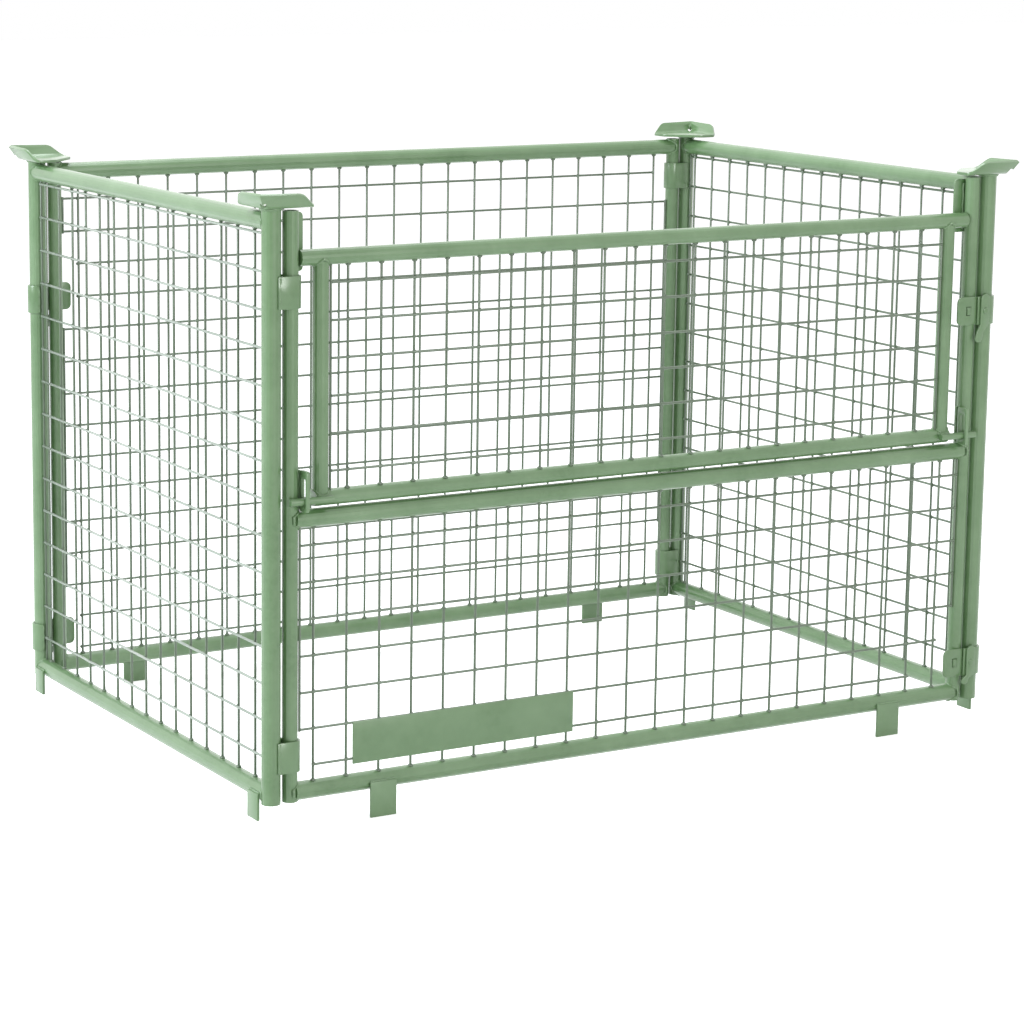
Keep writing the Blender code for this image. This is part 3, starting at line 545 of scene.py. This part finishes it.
REAR_EDGE = 0.55055
REAR_FIRST = -0.5257
REAR_UPRIGHTS, REAR_ROWS = 22, 15
REAR_TOP = DECK + 0.7346
rear_last = REAR_FIRST + (REAR_UPRIGHTS - 1) * PITCH
y_in, y_out = WALL_Y - WIRE_LAYER, WALL_Y + WIRE_LAYER
upright_step = (PITCH, 0, 0)
rear_parts = [
    wires((REAR_FIRST, y_in, FOOT), (REAR_FIRST, y_in, HEAD), REAR_UPRIGHTS, upright_step),
]
for first, count, left, right in (
    (0, 1, -REAR_EDGE, rear_last + STUB),
    (1, 1, -REAR_EDGE, REAR_EDGE),
    (2, 2, REAR_FIRST - STUB, REAR_EDGE),
    (4, 9, -REAR_EDGE, REAR_EDGE),
    (13, 2, REAR_FIRST - STUB, rear_last + STUB),
):
    z = REAR_TOP - first * PITCH
    rear_parts.append(wires((left, y_out, z), (right, y_out, z), count, ROW_STEP))
for x, first, last in ((-REAR_EDGE, 0, 1), (-REAR_EDGE, 4, 12), (REAR_EDGE, 1, 12)):
    low, high = REAR_TOP - last * PITCH - STUB, REAR_TOP - first * PITCH + STUB
    rear_parts.append(wires((x, WALL_Y, low), (x, WALL_Y, high)))
rear_parts.append(
    spots(
        (REAR_FIRST, WALL_Y, REAR_TOP), ALONG_Y,
        (REAR_UPRIGHTS, REAR_ROWS), (upright_step, ROW_STEP),
    )
)
for z in RAIL_SPOTS:
    place = (REAR_FIRST, y_in, z)
    rear_parts.append(spots(place, ALONG_Z, (REAR_UPRIGHTS,), (upright_step,), LONG_WALL_SPOT))
joined("rear_mesh_wires", rear_parts, "rear_and_left_walls", shaded_wire_paint, "rear_mesh")

# The end walls' meshes
#
# The same wire on the two short sides, uprights inside and rows outside, with one more row
# hard under the top rail.
SIDE_EDGE = 0.3742
SIDE_FIRST = -0.34
SIDE_UPRIGHTS, SIDE_ROWS = 15, 15
SIDE_TOP = DECK + 0.760
side_step = (0, PITCH, 0)
for side, word, body in ((-1, "left", "rear_and_left_walls"), (1, "right", "right_wall")):
    x_mid = side * WALL_X
    x_in, x_out = side * (WALL_X - WIRE_LAYER), side * (WALL_X + WIRE_LAYER)
    parts = [
        wires((x_in, SIDE_FIRST, FOOT), (x_in, SIDE_FIRST, HEAD), SIDE_UPRIGHTS, side_step),
        wires((x_mid, -SIDE_EDGE, FOOT), (x_mid, -SIDE_EDGE, HEAD)),
        wires((x_mid, SIDE_EDGE, FOOT), (x_mid, SIDE_EDGE, HEAD)),
        spots(
            (x_mid, SIDE_FIRST, SIDE_TOP), ALONG_X,
            (SIDE_UPRIGHTS, SIDE_ROWS), (side_step, ROW_STEP),
        ),
    ]
    for y in (-SIDE_EDGE, SIDE_EDGE):
        place = (x_mid, y, SIDE_TOP)
        parts.append(spots(place, ALONG_X, (SIDE_ROWS,), (ROW_STEP,), EDGE_SPOT))
    for z in RAIL_SPOTS:
        place = (x_in, SIDE_FIRST, z)
        parts.append(spots(place, ALONG_Z, (SIDE_UPRIGHTS,), (side_step,), END_WALL_SPOT))
    joined(word + "_mesh_wires", parts, body, shaded_wire_paint, word + "_mesh")
    start, end = (x_out, -SIDE_EDGE, SIDE_TOP), (x_out, SIDE_EDGE, SIDE_TOP)
    rows = wires(start, end, SIDE_ROWS, ROW_STEP)
    # The left wall's rows take the painted light, the other walls' rows the painted shade.
    joined(word + "_mesh_rows", [rows], body, lit_wire_rows_paint if side < 0 else shaded_wire_paint)

# The front wall's lower mesh
#
# It lies a little towards the outside, and its two lowest corners are cut out round the
# latch and the strap.
FRONT_Y = -WALL_Y - 0.004
FRONT_EDGE = 0.5512
FRONT_FIRST = -0.53
FRONT_UPRIGHTS, FRONT_FULL_ROWS = 22, 5
FRONT_TOP, FRONT_HEAD = DECK + 0.3477, DECK + 0.3710
FRONT_SPOTS = DECK + 0.0250, DECK + 0.3705
front_last = FRONT_FIRST + (FRONT_UPRIGHTS - 1) * PITCH
y_in, y_out = FRONT_Y + WIRE_LAYER, FRONT_Y - WIRE_LAYER
front_parts = [
    wires(
        (FRONT_FIRST, y_in, FOOT), (FRONT_FIRST, y_in, FRONT_HEAD),
        FRONT_UPRIGHTS, upright_step,
    ),
    wires(
        (-FRONT_EDGE, y_out, FRONT_TOP), (FRONT_EDGE, y_out, FRONT_TOP),
        FRONT_FULL_ROWS, ROW_STEP,
    ),
]
for row, left, right in (
    (5, -FRONT_EDGE, front_last + STUB),
    (6, FRONT_FIRST - STUB, front_last - PITCH + STUB),
):
    z = FRONT_TOP - row * PITCH
    front_parts.append(wires((left, y_out, z), (right, y_out, z)))
for x, row in ((-FRONT_EDGE, 5), (FRONT_EDGE, 4)):
    low = FRONT_TOP - row * PITCH - STUB
    front_parts.append(wires((x, FRONT_Y, low), (x, FRONT_Y, FRONT_HEAD)))
# Of the two short rows, the last has one crossing fewer.
for row, counts, steps in (
    (0, (FRONT_UPRIGHTS, FRONT_FULL_ROWS + 1), (upright_step, ROW_STEP)),
    (6, (FRONT_UPRIGHTS - 1,), (upright_step,)),
):
    place = (FRONT_FIRST, FRONT_Y, FRONT_TOP - row * PITCH)
    front_parts.append(spots(place, ALONG_Y, counts, steps))
for z in FRONT_SPOTS:
    place = (FRONT_FIRST, y_in, z)
    front_parts.append(
        spots(place, ALONG_Z, (FRONT_UPRIGHTS,), (upright_step,), LONG_WALL_SPOT)
    )
joined("front_mesh_wires", front_parts, "front_wall", shaded_wire_paint, "front_mesh")

# The gate's mesh
#
# The same sheet inside the gate's tubes, with a wire hard against each stile.
GATE_EDGE = 0.50636
GATE_FIRST = -0.48
GATE_UPRIGHTS, GATE_ROWS = 20, 6
GATE_TOP = DECK + 0.6947
GATE_LOW, GATE_HIGH = DECK + 0.4190, DECK + 0.7180
SPOT_INSET = 0.001
gate_parts = [
    wires(
        (GATE_FIRST, y_in, GATE_LOW), (GATE_FIRST, y_in, GATE_HIGH),
        GATE_UPRIGHTS, upright_step,
    ),
    wires((-GATE_EDGE, y_out, GATE_TOP), (GATE_EDGE, y_out, GATE_TOP), GATE_ROWS, ROW_STEP),
    wires((-GATE_EDGE, FRONT_Y, GATE_LOW), (-GATE_EDGE, FRONT_Y, GATE_HIGH)),
    wires((GATE_EDGE, FRONT_Y, GATE_LOW), (GATE_EDGE, FRONT_Y, GATE_HIGH)),
    spots(
        (GATE_FIRST, FRONT_Y, GATE_TOP), ALONG_Y,
        (GATE_UPRIGHTS, GATE_ROWS), (upright_step, ROW_STEP),
    ),
]
for z in (GATE_LOW + SPOT_INSET, GATE_HIGH - SPOT_INSET):
    place = (GATE_FIRST, y_in, z)
    gate_parts.append(spots(place, ALONG_Z, (GATE_UPRIGHTS,), (upright_step,), LONG_WALL_SPOT))
joined("gate_mesh_wires", gate_parts, "gate", shaded_wire_paint, "gate_mesh")

# The welds
#
# Hand welds, painted over: rippled rings round the ends of the rails and stiles and short
# rippled runs on the brackets, straps, tabs and plates.
RAIL, GATE_TUBE = 0.0125, 0.011  # the tubes' radii
LONG_POST, END_POST = 0.01065, 0.013
RING_TIGHT, RING_SINK = 0.0003, 0.0002  # how far a ring sits in its tube and its carrier
DROP_SPACING = 0.85  # times the width, so that the drops overlap
bead_turn = [0.0]  # each bead's ripples start a little further round


def ring_weld(center, out, along, radius, carrier, width=0.002):
    """The weld round a tube's end, where it meets the tube that carries it.

    center lies on the carrier's axis, out points along the welded tube and along is the
    direction of the carrier, whose radius is 0 where the carrier is flat.
    """
    reach = radius - RING_TIGHT
    bpy.ops.mesh.primitive_torus_add(
        major_segments=56, minor_segments=7, major_radius=reach, minor_radius=width
    )
    ring = bpy.context.active_object
    bead_turn[0] += 1.7
    for vertex in ring.data.vertices:
        angle = math.atan2(vertex.co.y, vertex.co.x)
        middle = Vector((reach * math.cos(angle), reach * math.sin(angle), 0))
        ripple = 0.07 * math.sin(24 * angle)
        lump = 0.16 * math.sin(3 * angle + bead_turn[0])
        vertex.co = middle + (vertex.co - middle) * (1 + ripple + lump)
        vertex.co.z += math.sqrt(max(carrier ** 2 - middle.x ** 2, 0)) - RING_SINK
    out, along = Vector(out), Vector(along)
    turn = Matrix((along.cross(out), along, out)).transposed().to_4x4()
    ring.data.transform(Matrix.Translation(center) @ turn)
    bpy.ops.object.shade_smooth()
    return ring


def run_weld(start, end, width=0.0022):
    """A straight weld run: overlapping drops of metal, each a little off the line."""
    start, end = Vector(start), Vector(end)
    span = end - start
    count = max(2, int(span.length / (width * DROP_SPACING)))
    bpy.ops.mesh.primitive_uv_sphere_add(
        segments=8, ring_count=6, radius=width, location=start
    )
    run = bpy.context.active_object
    bpy.ops.object.shade_smooth()
    place_finished(run)
    repeat(run, count, span / (count - 1))
    bead_turn[0] += 2.3
    for vertex in run.data.vertices:
        t = (vertex.co - start).dot(span) / span.length_squared
        sway = width * 0.22 * math.sin(t * 17 + bead_turn[0])
        vertex.co += Vector((sway, -sway, 0)) * 0.6
    return run


def upright_run(x, y, z, half, width=0.002):
    """A weld run straight up, as far above z as below it."""
    return run_weld((x, y, z - half), (x, y, z + half), width)


BOTTOM_RAIL, MIDDLE_RAIL, TOP_RAIL = DECK + 0.0125, DECK + 0.383, DECK + 0.777
GATE_BOTTOM, GATE_HEAD = DECK + 0.409, DECK + 0.728
STILE_X = 0.519
TAB_OUT, TAB_Z = 0.0128, DECK + 0.0132
SHORT_TAB_Y, SHORT_TAB_HALF = 0.367, 0.012
LONG_TAB_X, LONG_TAB_HALF = 0.429, 0.017
PIN_WELD, PIN_WELD_LENGTH = (0.508, -WALL_Y - 0.0115, DECK + 0.4135), 0.019
PIVOT_IN, PIVOT_HALF_GAP = 0.0112, 0.003
PIVOT_FROM, PIVOT_TO = DECK + 0.398, DECK + 0.448
STOP_IN, STOP_BACK = 0.0085, 0.0105
STOP_FROM, STOP_TO = DECK + 0.715, DECK + 0.780
BAND_IN, BAND_SIDE, BAND_HALF = 0.0068, 0.0125, 0.019
STRAP_MIDDLE, LATCH_HALF = 0.0146, 0.018
KEEPER_IN, KEEPER_OUT = 0.0078, 0.0098
STILE_BEAD, SEAT_BEAD, BRACKET_BEAD, PIN_BEAD = 0.0022, 0.0027, 0.0019, 0.0018
SEAT_DROP = 0.001

fixed_beads, right_beads, front_beads, gate_beads = [], [], [], []
for side in (-1, 1):
    # The rails' ends on the posts, and the gate's stiles on its tubes.
    inwards = (-side, 0, 0)
    for z in (BOTTOM_RAIL, TOP_RAIL):
        center = (side * HINGE_X, WALL_Y, z)
        fixed_beads.append(ring_weld(center, inwards, ALONG_Z, RAIL, LONG_POST))
    for z in (BOTTOM_RAIL, MIDDLE_RAIL):
        center = (side * HINGE_X, -WALL_Y, z)
        front_beads.append(ring_weld(center, inwards, ALONG_Z, RAIL, LONG_POST))
    for z in (BOTTOM_RAIL, TOP_RAIL):
        for beads, x in ((fixed_beads, -WALL_X), (right_beads, WALL_X)):
            center = (x, side * WALL_Y, z)
            beads.append(ring_weld(center, (0, -side, 0), ALONG_Z, RAIL, END_POST))
    for z, out in ((GATE_BOTTOM, 1), (GATE_HEAD, -1)):
        center = (side * STILE_X, -WALL_Y, z)
        gate_beads.append(
            ring_weld(center, (0, 0, out), ALONG_X, GATE_TUBE, GATE_TUBE, STILE_BEAD)
        )
    # The stacking plates' seats and the tabs.
    for beads, x in ((fixed_beads, -WALL_X), (right_beads, WALL_X)):
        center = (x, side * WALL_Y, PLATE_SEAT - SEAT_DROP)
        beads.append(ring_weld(center, ALONG_Z, ALONG_Y, END_POST, 0, SEAT_BEAD))
        x_out, y = x + math.copysign(TAB_OUT, x), side * SHORT_TAB_Y
        low, high = y - SHORT_TAB_HALF, y + SHORT_TAB_HALF
        beads.append(run_weld((x_out, low, TAB_Z), (x_out, high, TAB_Z)))
    for beads, y in ((fixed_beads, WALL_Y + TAB_OUT), (front_beads, -WALL_Y - TAB_OUT)):
        left, right = side * LONG_TAB_X - LONG_TAB_HALF, side * LONG_TAB_X + LONG_TAB_HALF
        beads.append(run_weld((left, y, TAB_Z), (right, y, TAB_Z)))
    # The gate's pins, pivot plates and stops.
    x, y, z = side * PIN_WELD[0], PIN_WELD[1], PIN_WELD[2]
    gate_beads.append(run_weld((x, y, z), (x + side * PIN_WELD_LENGTH, y, z), PIN_BEAD))
    x = side * (HINGE_X - PIVOT_IN)
    for y in (-WALL_Y - PIVOT_HALF_GAP, -WALL_Y + PIVOT_HALF_GAP):
        front_beads.append(run_weld((x, y, PIVOT_FROM), (x, y, PIVOT_TO), BRACKET_BEAD))
    x, y = side * (HINGE_X - STOP_IN), -WALL_Y + STOP_BACK
    front_beads.append(run_weld((x, y, STOP_FROM), (x, y, STOP_TO), BRACKET_BEAD))

# The plain corners' straps are welded to the end posts, on both sides of them.
for beads, side, end, heights in (
    (fixed_beads, -1, -1, (0.685, 0.0635)), (right_beads, 1, 1, (0.7285, 0.059)),
):
    x = side * (WALL_X - BAND_IN)
    for height in heights:
        for y in (end * WALL_Y - BAND_SIDE, end * WALL_Y + BAND_SIDE):
            beads.append(upright_run(x, y, DECK + height, BAND_HALF))

# The latched corners' straps are welded at their ends, and the keepers beside their posts.
for strap_beads, keeper_beads, side, end, column in (
    (right_beads, front_beads, 1, -1, 1), (fixed_beads, fixed_beads, -1, 1, 2),
):
    for latch in LATCHES:
        z = DECK + latch[column]
        x = side * (WALL_X + STRAP_MIDDLE * math.cos(STRAP_WRAP))
        y = end * (WALL_Y - STRAP_MIDDLE * math.sin(STRAP_WRAP))
        strap_beads.append(upright_run(x, y, z, LATCH_HALF))
        x, y = side * (HINGE_X - KEEPER_IN), end * (WALL_Y + KEEPER_OUT)
        keeper_beads.append(upright_run(x, y, z, LATCH_HALF))
for name, beads, body in (
    ("fixed_welds", fixed_beads, FIXED), ("right_welds", right_beads, "right_wall"),
    ("front_welds", front_beads, "front_wall"), ("gate_welds", gate_beads, "gate"),
):
    joined(name, beads, body, tube_paint)
